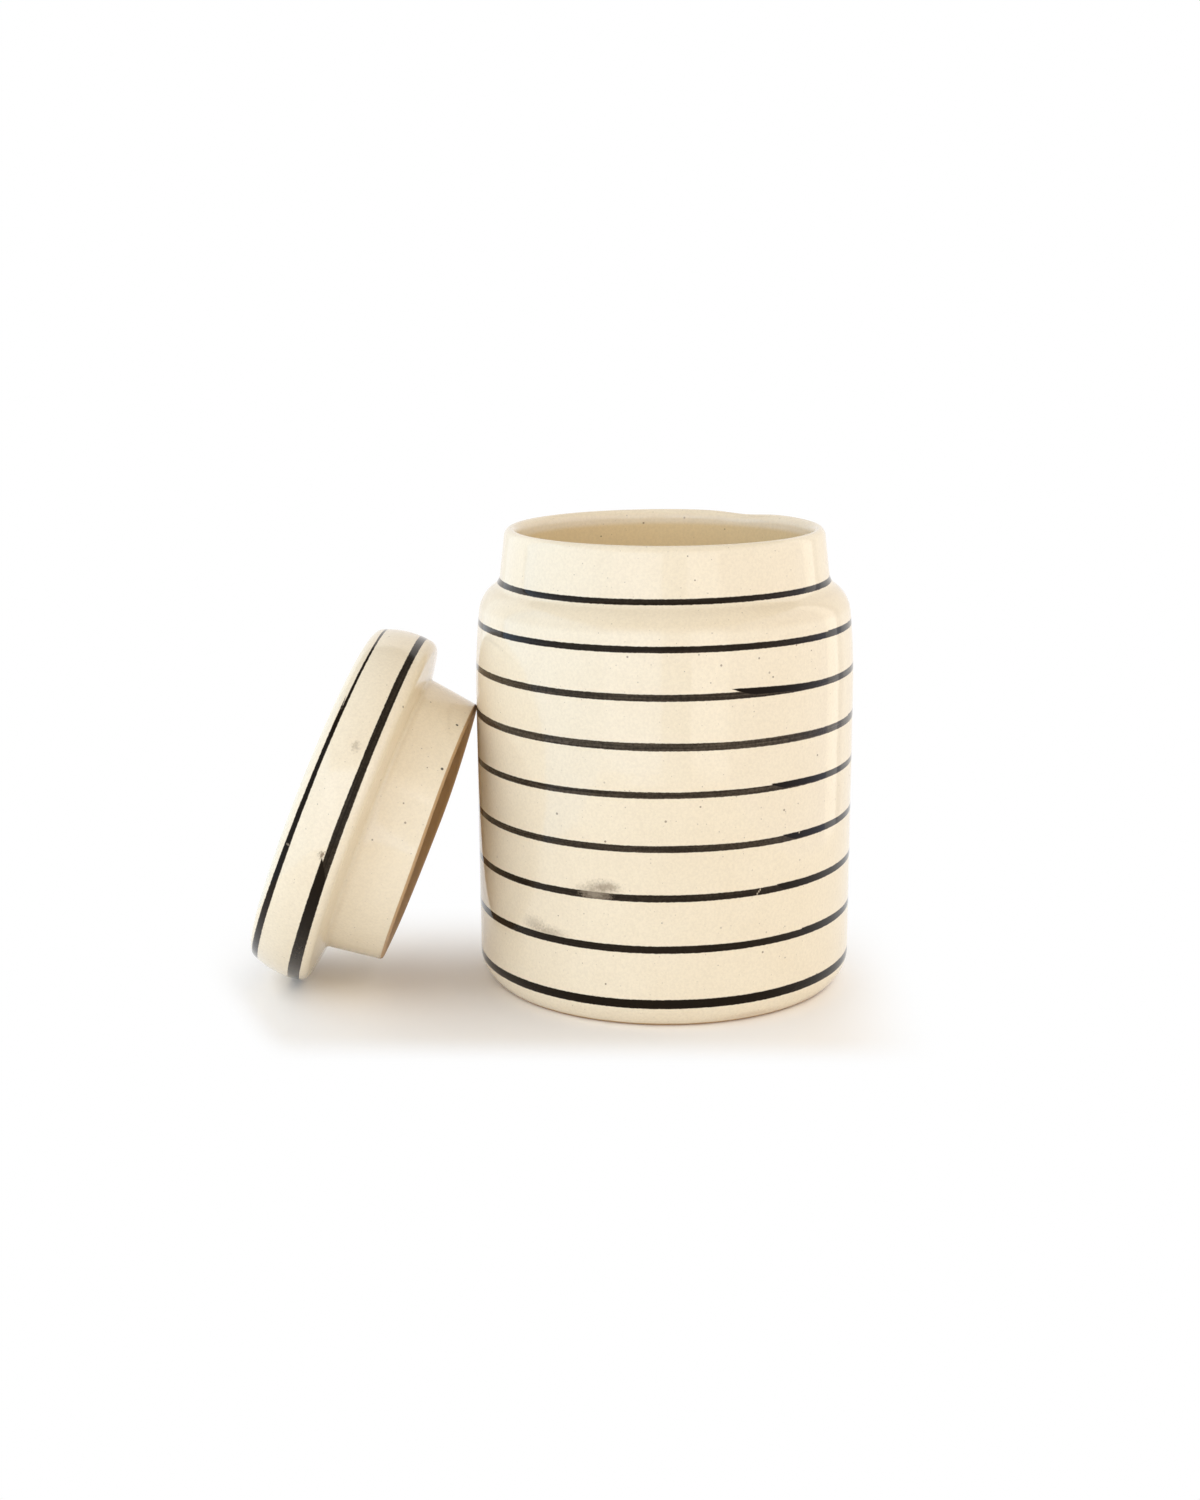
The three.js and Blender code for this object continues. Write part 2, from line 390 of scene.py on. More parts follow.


# Clay tint through the glaze: warmer in random clouds, warmer and darker in bands where glaze pools in a
# crease and painted shade falls, and painted shade inside the jar
def glazeColor(tree, at, sizes):
    warm = 0.0
    for scale, low, high, strength in glaze["clouds"]:
        cloud = ramp(tree, noise(tree, at["point"], scale, detail=3.0), low, high)
        warm = calc(tree, "MULTIPLY_ADD", cloud, strength, warm)
    for low, high, soft, strength in sizes["poolsAndCreaseShade"]:
        poolAndCreaseShade = within(tree, at["height"], low, high, soft)
        warm = calc(tree, "MULTIPLY_ADD", poolAndCreaseShade, strength, warm)
    color = mixColor(tree, warm, rgb["glaze"], rgb["warmGlaze"])
    # Painted shade: the glaze is made darker and warmer inside the jar, where shade falls
    if "inside" in sizes:
        mask = calc(tree, "MULTIPLY", at["inside"], within(tree, at["height"], *sizes["inside"]))
        color = mixColor(tree, mask, color, rgb["insideGlaze"])
    return color


# Sandy grain and specks of iron
def addIron(tree, at, grain, color):
    color = mixColor(tree, ramp(tree, grain, *glaze["grainSpan"], 0.0, glaze["grain"]), color, rgb["iron"])
    for cell, reach, share, strength, tint in glaze["specks"]:
        inputs = {"Point": at["point"], "Cell": cell, "Reach": reach, "Share": share}
        mask = addNode(tree, "Group", inputs, node_tree=groups["specks"]).outputs[0]
        color = mixColor(tree, calc(tree, "MULTIPLY", mask, strength), color, rgb[tint])
    return color


# Brush strokes on the outside, wiped here and there before they dried
def hoopPaint(tree, at, sizes):
    paint = 0.0
    for hoop in sizes["hoops"]:
        hoop = {**hoopUsual, **hoop}
        inputs = {
            "Point": at["point"], "Height": hoop["height"], "Half Width": hoop["width"] / 2,
            "Thinning": hoop["thinning"], "Press": hoop["press"],
            "Tilt X": hoop["tilt"][0], "Tilt Y": hoop["tilt"][1],
            "Start": radians(hoop["start"]), "Turn": hoop["turn"], "Overlap": hoop["overlap"],
            "Offset": hoop["offset"], "Wedge": hoop["wedge"], "Fresh": 1.0, "Spent": hoop["spent"],
        }
        stroke = addNode(tree, "Group", inputs, node_tree=groups["hoop"]).outputs[0]
        paint = calc(tree, "MAXIMUM", stroke, paint)
    for place, size, strength in sizes["wipes"]:
        wiped = spot(tree, at, place, size, glaze["wipeRagged"], glaze["wipeCore"])
        paint = without(tree, paint, calc(tree, "MULTIPLY", wiped, strength))
    return without(tree, paint, at["inside"])


# Brush smudges, and single specks
def addMarks(tree, at, sizes, color):
    for place, size, ragged, strength, tint in sizes["smudges"]:
        mask = calc(tree, "MULTIPLY", spot(tree, at, place, size, ragged, 0.0), strength)
        color = mixColor(tree, mask, color, rgb[tint])
    for radius, bearing, height, size, tint in sizes["flecks"]:
        mask = spot(tree, at, (radius, bearing, height), (size, size, size), glaze["fleckRagged"],
                    glaze["fleckCore"])
        color = mixColor(tree, calc(tree, "MULTIPLY", mask, glaze["fleckStrength"][tint]), color, rgb[tint])
    return color


# Black where the paint is whole, and brown where it is thin
def paintColor(tree, at, paint, grain):
    streak = noise(tree, vector(tree, "MULTIPLY", at["point"], glaze["streaks"]), scale=1.0)
    thin = without(tree, ramp(tree, streak, *noiseSpan, *glaze["streakStrength"]), paint)
    thin = calc(tree, "MULTIPLY", thin, ramp(tree, grain, *noiseSpan, *glaze["grainStrength"]))
    return mixColor(tree, ramp(tree, thin, 0.0, glaze["thin"]), rgb["paint"], rgb["thinPaint"])


# Clay without glaze below an uneven line, which at the jar's foot also stands in for the contact shade as
# painted shade, and the same brown, rough clay look some way up the inside of the lid's plug
def bareClay(tree, at, sizes):
    low, high, soft, ragged = sizes["bare"]
    edge = wander(tree, at["point"], glaze["bareScale"], detail=4.0, roughness=0.6)
    edge = calc(tree, "MULTIPLY_ADD", edge, ragged, at["height"])
    if "rimDrop" in sizes:
        cosine = calc(tree, "DIVIDE", at["x"], at["radius"])
        drop = ramp(tree, cosine, *sizes["rimFalls"], 0.0, sizes["rimDrop"])
        drop = calc(tree, "MULTIPLY", drop, ramp(tree, cosine, *sizes["rimRises"]))
        edge = calc(tree, "ADD", edge, drop)
    bare = within(tree, edge, low, high, soft)
    if "bareInside" in sizes:
        low, high = sizes["bareInside"]
        unglazed = calc(tree, "MULTIPLY", ramp(tree, at["height"], high, low), at["inside"])
        bare = calc(tree, "MAXIMUM", bare, unglazed)
    return bare


def clayColor(tree, at, sizes):
    patches = noise(tree, at["point"], glaze["patchScale"], detail=4.0, roughness=0.6)
    patches = ramp(tree, patches, *noiseSpan)
    # Paler along X; on the lid this is painted light on the lower rim, which faces the table
    pale = ramp(tree, at["x"], *sizes["palerAlongX"], 0.0, glaze["paler"])
    pale = calc(tree, "MULTIPLY_ADD", patches, glaze["patches"], pale)
    return mixColor(tree, pale, rgb["brownClay"], rgb["pinkClay"])


# Faint waves and throwing rings in the glaze, and a grain on the bare clay
def relief(tree, at, bare):
    scales = {name: glaze[name][0] for name in ("waves", "rings", "peel", "pits")}
    stretched = vector(tree, "MULTIPLY", at["point"], scales["rings"])
    pits = noise(tree, at["point"], scales["pits"], detail=3.0)
    shapes = {
        "waves": noise(tree, at["point"], scales["waves"]),
        "rings": noise(tree, stretched, scale=1.0),
        "peel": noise(tree, at["point"], scales["peel"], detail=1.0),
        "pits": calc(tree, "MULTIPLY", pits, bare),
    }
    height = 0.0
    for name, shape in shapes.items():
        height = calc(tree, "MULTIPLY_ADD", shape, glaze[name][1], height)
    inputs = {"Height": height, "Distance": mm, "Strength": glaze["bump"]}
    return addNode(tree, "Bump", inputs).outputs[0]


def glazeMaterial(name, sizes, place):
    material = newMaterial(name)
    tree = material.node_tree
    shader = addNode(tree, "BsdfPrincipled", {"IOR": glaze["ior"]})
    addNode(tree, "OutputMaterial", {"Surface": shader.outputs[0]})
    at = locate(tree, place, sizes["middle"])
    grain = noise(tree, at["point"], glaze["grainScale"], detail=3.0, roughness=0.65)
    paint = hoopPaint(tree, at, sizes)
    painted = ramp(tree, paint, *glaze["painted"])
    bare = bareClay(tree, at, sizes)

    color = addIron(tree, at, grain, glazeColor(tree, at, sizes))
    color = addMarks(tree, at, sizes, color)
    color = mixColor(tree, painted, color, paintColor(tree, at, paint, grain))
    color = mixColor(tree, bare, color, clayColor(tree, at, sizes))
    tree.links.new(color, shader.inputs["Base Color"])

    # The paint is duller than the glaze, and bare clay is rough
    dull = mixColor(tree, calc(tree, "MAXIMUM", painted, bare), (1, 1, 1), rgb["dullShine"])
    tree.links.new(dull, shader.inputs["Specular Tint"])
    gloss = noise(tree, at["point"], glaze["roughnessScale"])
    gloss = ramp(tree, gloss, *noiseSpan, *glaze["roughness"])
    tree.links.new(mixValue(tree, bare, gloss, glaze["bareRoughness"]), shader.inputs["Roughness"])
    tree.links.new(relief(tree, at, bare), shader.inputs["Normal"])
    return material


# The jar

inset = 0.001  # keeps the jar within the box of its solid
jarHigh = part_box("jar_body")[1]
jar = {
    "radius": jarHigh.x / mm - inset, "height": jarHigh.z / mm, "wall": 4.6, "floor": 5.4, "floorCurve": 12,
    "footInset": 3.9, "footCurve": 9, "taperStart": 82.6, "taperCurve": 195, "taperAngle": 6.3,
    "shoulderCurve": 9.1, "neckInset": 7.1, "neckCurve": 4.9, "neckLean": 6.7,
    "lipThickness": 3.7, "lipRise": 2.6,
    "sag": 0.7, "sagBearing": 56, "sagSpread": 11, "sagFade": 12,
    "sectors": 256,
    # heights of the painted hoops from the neck down, where each starts, and how its brush ran
    "hoops": [
        {"height": 112.73, "width": 1.5, "tilt": (0.20, 0.06), "start": 20, "spent": 0.965},
        {"height": 101.35, "width": 1.7, "tilt": (0.04, -0.13), "start": -33, "spent": 0.965},
        {"height": 89.38, "width": 1.85, "tilt": (-0.05, 0.14), "start": -70.7, "offset": 0.85,
         "overlap": 95, "wedge": 7.0, "spent": 0.93},
        {"height": 76.37, "width": 2.1, "tilt": (-0.29, -0.05), "start": -18, "spent": 0.915},
        {"height": 63.45, "width": 1.75, "tilt": (0.21, -0.27), "start": -57.8, "offset": 0.3,
         "spent": 0.925},
        {"height": 49.56, "width": 1.85, "tilt": (0.13, 0.18), "start": -53.4, "spent": 0.935},
        {"height": 36.17, "width": 1.95, "tilt": (0.24, 0.03), "start": -55.4, "wedge": 3.0, "spent": 0.96},
        {"height": 22.18, "width": 2.05, "tilt": (0.08, -0.01), "start": -45.2, "wedge": 2.0,
         "spent": 0.975},
        {"height": 7.32, "width": 2.5, "tilt": (0.15, 0.20), "start": 12, "spent": 0.995},
    ],
    # warmer, darker bands in the neck's hollow, partly thicker glaze and partly painted shade in that
    # crease: from, to, fade and strength
    "poolsAndCreaseShade": [(106.5, 110.5, 2.0, 0.35)],
    # a line in the middle of the wall, which parts the painted outside from the inside
    "middle": {"heights": (103.5, 107.0), "radii": (49.5, 42.6), "soft": 0.3},
    "inside": (4.0, 121.9, 1.6),  # heights of the painted shade inside the jar, a darker, warmer glaze: from, to and fade
    # places are radius, bearing in degrees and height, followed by a size and a strength
    "wipes": [
        ((52.4, -110.0, 36.5), (6.0, 6.0, 2.4), 0.42),
        ((52.4, -62.2, 35.8), (0.33, 0.33, 0.5), 0.6),
        ((52.4, -61.7, 36.3), (0.33, 0.33, 0.5), 0.6),
        ((52.4, -61.2, 36.8), (0.33, 0.33, 0.5), 0.6),
        ((52.4, -47.1, 50.4), (0.35, 0.35, 0.6), 0.8),
    ],
    # the same, with how ragged it is before its strength, and its tint
    "smudges": [
        ((52.4, -107.4, 38.5), (6.5, 6.5, 2.8), 1.0, 0.6, "smudge"),
        ((52.4, -105.6, 38.7), (3.4, 3.4, 1.4), 0.8, 0.4, "smudge"),
        ((52.4, -111.0, 37.4), (6.5, 6.5, 2.4), 1.0, 0.45, "smudge"),
        ((52.4, -131.5, 25.0), (6.0, 6.0, 3.2), 1.0, 0.4, "smudge"),
        ((52.4, -125.5, 23.8), (8.0, 8.0, 2.4), 1.0, 0.5, "smudge"),
        ((49.6, -63.0, 1.9), (16.0, 9.0, 1.5), 0.8, 0.4, "pinkClay"),
    ],
    # radius, bearing, height, size and tint
    "flecks": [
        (40.4, 98.7, 122.8, 0.38, "iron"), (44.0, -82.3, 124.2, 0.28, "iron"),
        (44.8, -80.0, 118.1, 0.3, "iron"), (52.4, -122.2, 56.8, 0.42, "iron"),
        (52.4, -89.5, 56.9, 0.4, "iron"), (52.4, -60.1, 19.4, 0.4, "iron"),
        (51.6, -48.6, 100.5, 0.38, "iron"), (51.8, -73.8, 97.2, 0.4, "iron"),
        (51.7, -100.4, 99.6, 0.35, "iron"), (52.4, -53.2, 57.3, 0.42, "iron"),
        (52.4, -79.7, 60.6, 0.35, "iron"), (52.4, -39.4, 70.0, 0.4, "iron"),
        (51.8, -62.1, 98.3, 0.35, "iron"), (52.0, -57.6, 93.1, 0.38, "iron"),
    ],
    "bare": (-1.0, 0.55, 0.25, 0.5),  # heights of the bare clay at the foot, set tall enough to be partly painted contact shade: from, to, fade and unevenness
    "palerAlongX": (-10, 40),  # the bare clay turns paler between these, along X
}


# The outline, and the radius of the mouth
def drawJar(s):
    slope, lean = radians(s["taperAngle"]), radians(s["neckLean"])
    taper = s["radius"] - s["taperCurve"], s["taperStart"]
    shoulder = onArc(taper, s["taperCurve"] - s["shoulderCurve"], slope)
    hollowX = s["radius"] - s["neckInset"] + s["neckCurve"] * cos(lean)
    turn = acos((hollowX - shoulder[0]) / (s["shoulderCurve"] + s["neckCurve"]))
    hollow = onArc(shoulder, s["shoulderCurve"] + s["neckCurve"], turn)

    # Foot and side
    footX = s["radius"] - s["footCurve"]
    footTurn = acos((s["footCurve"] - s["footInset"]) / s["footCurve"])
    footZ = s["footCurve"] * sin(footTurn)
    outline = Outline(0, 0)
    outline.line(s["radius"] - s["footInset"], 0, steps=12)
    outline.arc((footX, footZ), footTurn, steps=14)
    outline.line(s["radius"], s["taperStart"], steps=50)
    outline.arc(taper, slope, steps=16)
    outline.arc(shoulder, turn - slope, steps=16)
    outline.arc(hollow, lean - turn, steps=12)

    # Neck, and a lip that is half an ellipse: a half circle drawn first and then stretched upwards
    half, rise = s["lipThickness"] / 2, s["lipRise"]
    lipStart = atan(rise / half * tan(lean))
    lipBase = s["height"] - rise
    neckFoot = outline.tip.co.copy()
    lipOuterZ = lipBase + rise * sin(lipStart)
    lipOuterX = neckFoot.x - tan(lean) * (lipOuterZ - neckFoot.z)
    lipX = lipOuterX - half * cos(lipStart)
    outline.line(*onArc((lipX, lipBase), half, lipStart), steps=10)
    first = len(outline.bm.verts) - 1
    outline.arc((lipX, lipBase), pi - lipStart, steps=24)
    outline.bm.verts.ensure_lookup_table()
    bmesh.ops.scale(outline.bm, vec=(1, 1, rise / half), verts=outline.bm.verts[first:],
                    space=Matrix.Translation((0, 0, -lipBase)))

    # Inside, parallel to the outside
    outline.line(*onArc(hollow, s["neckCurve"] + s["wall"], pi + lean), steps=10)
    outline.arc(hollow, turn - lean, steps=14)
    outline.arc(shoulder, slope - turn, steps=10)
    outline.arc(taper, -slope, steps=16)
    inner = s["radius"] - s["wall"]
    outline.line(inner, s["floor"] + s["floorCurve"], steps=36)
    outline.arc((inner - s["floorCurve"], s["floor"] + s["floorCurve"]), -pi / 2, steps=14)
    outline.line(0, s["floor"], steps=10)
    return outline, lipX - half


# Lowers the lip where it sags
def sagLip(bm, s):
    for vert in bm.verts:
        x, y, z = vert.co
        bearing = degrees(atan2(y, x))
        dip = s["sag"] * exp(-((bearing - s["sagBearing"]) / s["sagSpread"]) ** 2)
        vert.co.z -= dip * smoothStep(z, s["height"] - s["sagFade"], s["height"])


# Returns the radius of the mouth, which the lid's plug fits
def makeJar():
    outline, mouth = drawJar(jar)
    bm = outline.throw(jar["sectors"])
    sagLip(bm, jar)
    material = glazeMaterial("jarGlaze", jar, {"turns": (0, 0, 0), "origin": (0, 0, 0)})
    finishPiece(bm, "glazed_jar", "jar", "jar_body", material)
    return mouth


# The lid

lidLow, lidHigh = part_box("lid")
lid = {
    "plugClearance": 0.2, "plugTaper": 1.9, "plugLength": 15.2, "plugWall": 3.4, "plugEdge": 1.1,
    "plugFillet": 1.4, "plugShift": 0.7, "lidInset": 1.1, "ledgeAngle": 7, "ledgeEdge": 2.9,
    "sideCurve": 23.5, "sideLow": -9.5, "sideHigh": 24, "topEdge": 3, "topCrown": 1.4,
    "topThickness": 6.4, "hollowCurve": 8,
    "leanAngle": 68.6, "leanTurn": 1.3,
    # the free rim drops by rimDrop as the cosine of its bearing goes down through rimFalls, and begins
    # to come up again at the higher value of rimRises
    "rimDrop": 1.15, "rimFalls": (1.0, -0.2), "rimRises": (-1.45, -0.85),
    "sectors": 256,
    # in the lid's own frame, whose heights run from the free rim of the plug to the crown
    "hoops": [
        {"height": 31.56, "width": 1.5, "press": 0.5, "tilt": (-0.5, 0.38), "thinning": 0.1, "start": -41,
         "turn": -1.0, "offset": 0.3, "overlap": 44, "wedge": 12.0, "spent": 0.985},
        {"height": 20.28, "width": 2.9, "press": 0.2, "tilt": (0.31, 0.42), "thinning": 0.17,
         "start": -90.5, "turn": -1.0, "offset": 0.25, "overlap": 60, "wedge": 7.0, "spent": 0.955},
    ],
    # warmer, darker band in the crease between plug and ledge, partly thicker glaze and partly painted
    # shade
    "poolsAndCreaseShade": [(14.0, 15.6, 1.4, 0.25)],
    "middle": {"heights": (14.0, 18.0), "radii": (37.5, 42.0), "soft": 0.3},
    "wipes": [((49.8, -91.0, 31.2), (0.5, 0.5, 0.9), 0.4)],
    "smudges": [
        ((51.2, -56.5, 23.9), (2.4, 2.4, 1.6), 1.6, 0.42, "smudge"),
        ((51.2, -89.6, 21.8), (1.5, 1.5, 1.3), 2.2, 0.95, "smudge"),
    ],
    "flecks": [
        (39.1, -22.3, 2.5, 0.5, "darkIron"), (38.8, -46.3, 1.6, 0.5, "darkIron"),
        (49.9, -37.7, 16.8, 0.45, "iron"), (42.4, -61.0, 15.2, 0.4, "iron"),
        (39.1, -72.0, 5.3, 0.4, "iron"), (39.8, -82.5, 11.7, 0.35, "iron"),
        (39.4, -65.3, 7.6, 0.35, "iron"),
    ],
    "bare": (-1.0, 0.6, 0.15, 0.12),
    "bareInside": (7, 8),  # heights inside the plug between which the brown of the rim gives way to the glaze
    # the bare rim turns paler towards its lower end, along X between these: painted light from the table
    "palerAlongX": (-5, -30),
}


# The outline, and its span between the disc and the plug, over which the plug's shift dies out
def drawLid(s, mouth):
    plugRoot = mouth - s["plugClearance"]
    plugTip = plugRoot - s["plugTaper"]
    plugLean = atan(s["plugTaper"] / s["plugLength"])
    bore = plugTip - s["plugWall"]
    ledge, low, high = radians(s["ledgeAngle"]), radians(s["sideLow"]), radians(s["sideHigh"])

    bulgeX = jar["radius"] - s["lidInset"] - s["sideCurve"]
    edgeX = bulgeX + (s["sideCurve"] - s["ledgeEdge"]) * cos(low)
    edgeZ = s["plugLength"] + tan(ledge) * (edgeX - plugRoot) + s["ledgeEdge"] / cos(ledge)
    bulge = bulgeX, edgeZ - (s["sideCurve"] - s["ledgeEdge"]) * sin(low)
    topEdge = onArc(bulge, s["sideCurve"] - s["topEdge"], high)
    capAngle = 2 * atan(s["topCrown"] / topEdge[0])
    capRadius = topEdge[0] / sin(capAngle)
    top = topEdge[1] + s["topEdge"] + s["topCrown"]
    ceiling = top - s["topThickness"]

    opening = pi / 2 - ledge + plugLean
    reach = s["plugFillet"] / tan(opening / 2)
    fillet = (plugRoot - reach * sin(plugLean) + s["plugFillet"] * cos(plugLean),
              s["plugLength"] - reach * cos(plugLean) - s["plugFillet"] * sin(plugLean))

    # Hollow, free rim and outside of the plug
    outline = Outline(0, ceiling)
    outline.line(bore - s["hollowCurve"], ceiling, steps=8)
    outline.arc((bore - s["hollowCurve"], ceiling - s["hollowCurve"]), -pi / 2, steps=14)
    outline.line(bore, s["plugEdge"], steps=12)
    outline.arc((bore + s["plugEdge"], s["plugEdge"]), pi / 2, steps=8)
    outline.line(plugTip - s["plugEdge"], 0, steps=3)
    outline.arc((plugTip - s["plugEdge"], s["plugEdge"]), pi / 2, steps=8)
    outline.line(*onArc(fillet, s["plugFillet"], pi + plugLean), steps=14)
    outline.arc(fillet, -opening, steps=10)
    filletEnd = outline.tip.co.x

    # Disc
    outline.line(*onArc((edgeX, edgeZ), s["ledgeEdge"], ledge - pi / 2), steps=8)
    outline.arc((edgeX, edgeZ), low - ledge + pi / 2, steps=14)
    outline.arc(bulge, high - low, steps=24)
    outline.arc(topEdge, pi / 2 - capAngle - high, steps=14)
    outline.arc((0, top - capRadius), capAngle, steps=24)
    outline.tip.co.x = 0
    return outline, {"from": edgeX, "to": filletEnd, "below": ceiling + s["topThickness"] / 2}


# The plug stands off the lid's middle, and its free rim is uneven
def shiftPlug(bm, s, span):
    for vert in bm.verts:
        radius = hypot(vert.co.x, vert.co.y)
        cosine = vert.co.x / max(radius, weld)
        drop = s["rimDrop"] * smoothStep(cosine, *s["rimFalls"]) * smoothStep(cosine, *s["rimRises"])
        vert.co.z -= drop * max(1 - vert.co.z / s["plugLength"], 0)
        if vert.co.z < span["below"] and radius < span["from"]:
            vert.co.x += s["plugShift"] * min((span["from"] - radius) / (span["from"] - span["to"]), 1)


def makeLid(mouth):
    outline, span = drawLid(lid, mouth)
    bm = outline.throw(lid["sectors"])
    shiftPlug(bm, lid, span)

    # Leant over, and brought to the size and place of its solid
    turns = 0, -radians(lid["leanAngle"]), -radians(lid["leanTurn"])
    bmesh.ops.rotate(bm, verts=bm.verts[:], cent=(0, 0, 0),
                     matrix=Matrix.Rotation(turns[2], 3, "Z") @ Matrix.Rotation(turns[1], 3, "Y"))
    low = Vector([min(v.co[i] for v in bm.verts) for i in range(3)])
    high = Vector([max(v.co[i] for v in bm.verts) for i in range(3)])
    fit = min((lidHigh[i] - lidLow[i]) / (high[i] - low[i]) for i in range(3)) / mm
    bmesh.ops.scale(bm, vec=(fit, fit, fit), verts=bm.verts[:])
    origin = (lidLow + lidHigh) / 2 - (low + high) / 2 * fit * mm
    bmesh.ops.translate(bm, verts=bm.verts[:], vec=origin / mm)
    material = glazeMaterial("lidGlaze", lid, {"turns": turns, "origin": origin})
    finishPiece(bm, "glazed_lid", "lid", "lid", material)


# Floor, lamps and surroundings

studio = {
    "floor": 3000, "floorBounce": (0.86, 0.84, 0.80), "floorSeen": (1.0, 0.94, 0.862),
    # the table is drawn in full between the middle two values, and is plain white beyond the outer two
    "fade": {"x": (-138, -104, 38, 72), "y": (-77, -56, -25, 58)},
    # at its near left corner it begins and is whole where x and y times cornerSlope add up to these
    "corner": (-138.5, -127), "cornerSlope": 0.5,
    # light from all sides, and more from behind and in front, which begins and is whole where the
    # direction has these shares of y
    "world": {"sides": (0.38, 0.35, 0.32), "behind": (0.71, 0.70, 0.68), "front": (0.95, 0.97, 1.0),
              "span": (0.1, 1.0)},
    # boards round the pieces that the glaze mirrors, each from one end to the other
    "boards": [
        {"name": "leftBoard", "from": (-190, -293), "to": (-190, 38), "shade": (0.67, 1.07, 1.55)},
        {"name": "leftPost", "from": (-190, 38), "to": (-190, 46), "shade": (0.4, 0.4, 0.4)},
        {"name": "backLeftBoard", "from": (-190, 46), "to": (-190, 200), "shade": (1.2, 1.25, 1.3)},
        {"name": "backBoard", "from": (-190, 200), "to": (186, 200), "shade": (1.0, 0.97, 0.94)},
        {"name": "darkPost", "from": (186, 125), "to": (186, 90), "shade": (0.7, 0.73, 0.8)},
        {"name": "brightPost", "from": (186, 90), "to": (186, 38), "shade": (1.6, 1.6, 1.62)},
        {"name": "rightBoard", "from": (186, 38), "to": (186, -266), "shade": (0.82, 0.9, 1.15)},
        {"name": "frontLeftBoard", "from": (-190, -293), "to": (-10, -330), "shade": (1.33, 1.69, 2.2)},
        {"name": "cameraSide", "from": (-10, -330), "to": (86, -330), "shade": (0.71, 0.84, 1.0)},
        {"name": "frontRightBoard", "from": (86, -330), "to": (186, -266), "shade": (1.63, 1.78, 1.98)},
    ],
    "boardsTall": 270,
    "roof": {"shade": (0.15, 0.15, 0.15), "degrees": (36, 44)},  # begins and is whole at these heights
    # lamps: bearing seen from the jar (0 is the viewer's side, + to the right), distance and height of
    # the middle, size and light
    "lamps": [
        {"name": "leftPanel", "azimuth": -73, "away": 340, "height": 215, "width": 540, "tall": 420,
         "light": (0.78, 1.04, 1.38)},
        {"name": "rightPanel", "azimuth": 82, "away": 320, "height": 205, "width": 600, "tall": 400,
         "light": (0.72, 0.755, 0.80)},
    ],
    "aim": (0, 0, 60),
}


def makeLamp(lamp):
    data = bpy.data.lights.new(lamp["name"], "AREA")
    data.shape = "RECTANGLE"
    data.size, data.size_y = lamp["width"] * mm, lamp["tall"] * mm
    strongest = max(lamp["light"])
    data.energy = strongest * pi * data.size * data.size_y
    data.color = [value / strongest for value in lamp["light"]]
    made = addObject(lamp["name"], data)
    angle = radians(lamp["azimuth"])
    place = Vector((sin(angle), -cos(angle), 0)) * lamp["away"] * mm
    place.z = lamp["height"] * mm
    made.location = place
    made.rotation_euler = (Vector(studio["aim"]) * mm - place).to_track_quat("-Z", "Y").to_euler()
    made.visible_camera = False
    made.visible_glossy = False  # the glaze mirrors the boards and the roof instead


def seenDirectly(tree):
    path = addNode(tree, "LightPath").outputs
    seen = calc(tree, "MAXIMUM", path["Is Camera Ray"], path["Is Glossy Ray"])
    return calc(tree, "MAXIMUM", seen, path["Is Transmission Ray"])


def makeWorld():
    world = bpy.data.worlds.new("studio")
    bpy.context.scene.world = world
    world.use_nodes = True
    tree = world.node_tree
    tree.nodes.clear()
    x, y, z = addNode(tree, "SeparateXYZ", {0: addNode(tree, "TexCoord").outputs["Generated"]}).outputs
    toViewer = calc(tree, "MULTIPLY", y, -1.0)

    # Light on clay and table
    light = studio["world"]
    behind = mixColor(tree, ramp(tree, y, *light["span"]), (0, 0, 0), light["behind"])
    front = mixColor(tree, ramp(tree, toViewer, *light["span"]), (0, 0, 0), light["front"])
    lit = vector(tree, "ADD", vector(tree, "ADD", behind, front), light["sides"])
    lit = addNode(tree, "Background", {"Color": lit, "Strength": 1.0})

    # White for the camera and the glaze, with a dark roof that only the glaze mirrors
    glossy = addNode(tree, "LightPath").outputs["Is Glossy Ray"]
    begins, whole = [sin(radians(angle)) for angle in studio["roof"]["degrees"]]
    above = calc(tree, "MULTIPLY", ramp(tree, z, begins, whole), glossy)
    shown = mixColor(tree, above, (1, 1, 1), studio["roof"]["shade"])
    shown = addNode(tree, "Background", {"Color": shown, "Strength": 1.0})
    mix = addNode(tree, "MixShader", {0: seenDirectly(tree), 1: lit.outputs[0], 2: shown.outputs[0]})
    addNode(tree, "OutputWorld", {"Surface": mix.outputs[0]})


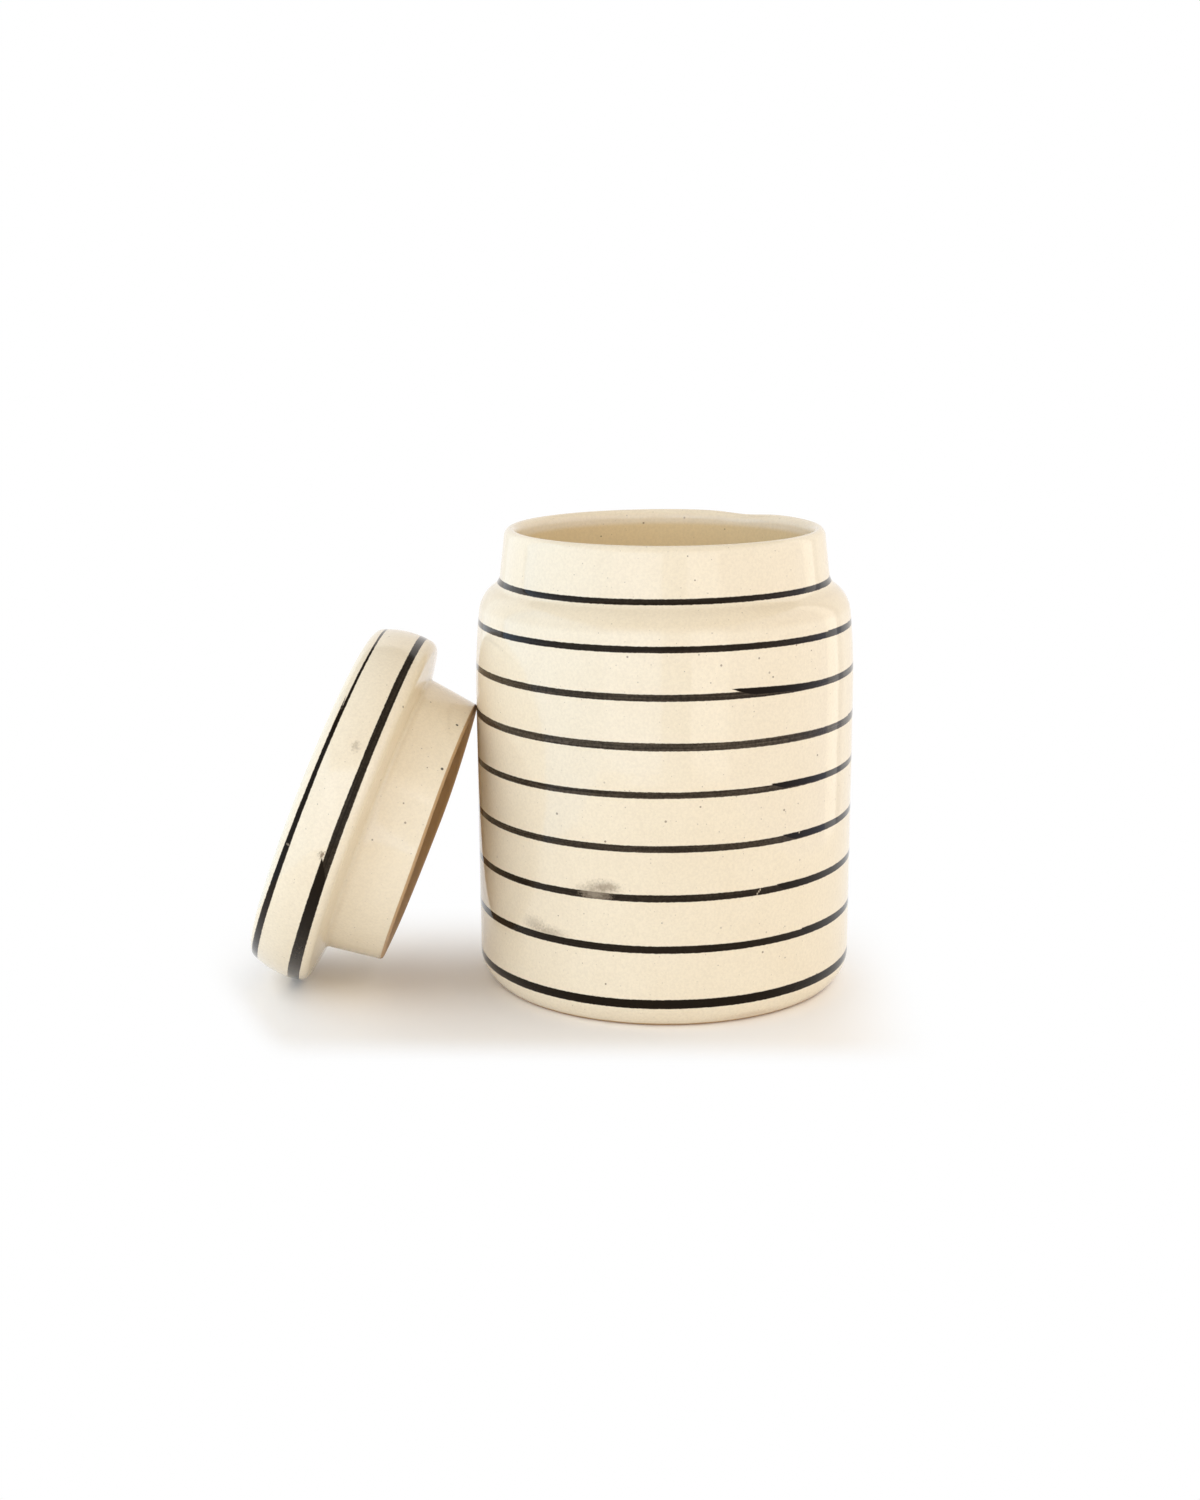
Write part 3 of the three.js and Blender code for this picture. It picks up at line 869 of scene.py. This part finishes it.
# Stands on the table, and shows only in the glaze
def makeBoard(board):
    bm = bmesh.new()
    ends = [bm.verts.new((*board[end], 0)) for end in ("from", "to")]
    edge = bm.edges.new(ends)
    raised = bmesh.ops.extrude_edge_only(bm, edges=[edge])["geom"]
    bmesh.ops.translate(bm, verts=[g for g in raised if isinstance(g, bmesh.types.BMVert)],
                        vec=(0, 0, studio["boardsTall"]))
    material = newMaterial(board["name"])
    tree = material.node_tree
    glow = addNode(tree, "Emission", {"Color": opaque(board["shade"]), "Strength": 1.0})
    addNode(tree, "OutputMaterial", {"Surface": glow.outputs[0]})
    made = addMesh(board["name"], bm, material)
    made.visible_camera = made.visible_diffuse = made.visible_shadow = False
    made.visible_transmission = made.visible_volume_scatter = False


# Share of the table that is drawn, which fades to plain white round the pieces
def tableDrawn(tree):
    where = addNode(tree, "TexCoord").outputs["Object"]
    place = vector(tree, "MULTIPLY", where, (1 / mm, 1 / mm, 1 / mm))
    x, y, _ = addNode(tree, "SeparateXYZ", {0: place}).outputs
    drawn = 1.0
    for value, fade in ((x, studio["fade"]["x"]), (y, studio["fade"]["y"])):
        drawn = calc(tree, "MULTIPLY", drawn, ramp(tree, value, fade[0], fade[1]))
        drawn = calc(tree, "MULTIPLY", drawn, ramp(tree, value, fade[3], fade[2]))
    slanted = calc(tree, "MULTIPLY_ADD", y, studio["cornerSlope"], x)
    return calc(tree, "MULTIPLY", drawn, ramp(tree, slanted, *studio["corner"]))


def makeFloor():
    bm = bmesh.new()
    bmesh.ops.create_grid(bm, x_segments=2, y_segments=2, size=studio["floor"])
    material = newMaterial("paleTable")
    tree = material.node_tree
    bounce = addNode(tree, "BsdfDiffuse", {"Color": opaque(studio["floorBounce"])})
    seen = addNode(tree, "BsdfDiffuse", {"Color": opaque(studio["floorSeen"])})
    white = addNode(tree, "Emission", {"Color": opaque((1, 1, 1)), "Strength": 1.0})
    seen = addNode(tree, "MixShader", {0: tableDrawn(tree), 1: white.outputs[0], 2: seen.outputs[0]})
    mix = addNode(tree, "MixShader", {0: seenDirectly(tree), 1: bounce.outputs[0], 2: seen.outputs[0]})
    addNode(tree, "OutputMaterial", {"Surface": mix.outputs[0]})
    floor = addMesh("tabletop", bm, material)


makeCamera()
makeWorld()
for lamp in studio["lamps"]:
    makeLamp(lamp)
for board in studio["boards"]:
    makeBoard(board)
makeFloor()
print("studio done")
makeLid(makeJar())

bpy.context.scene.view_settings.view_transform = "Standard"
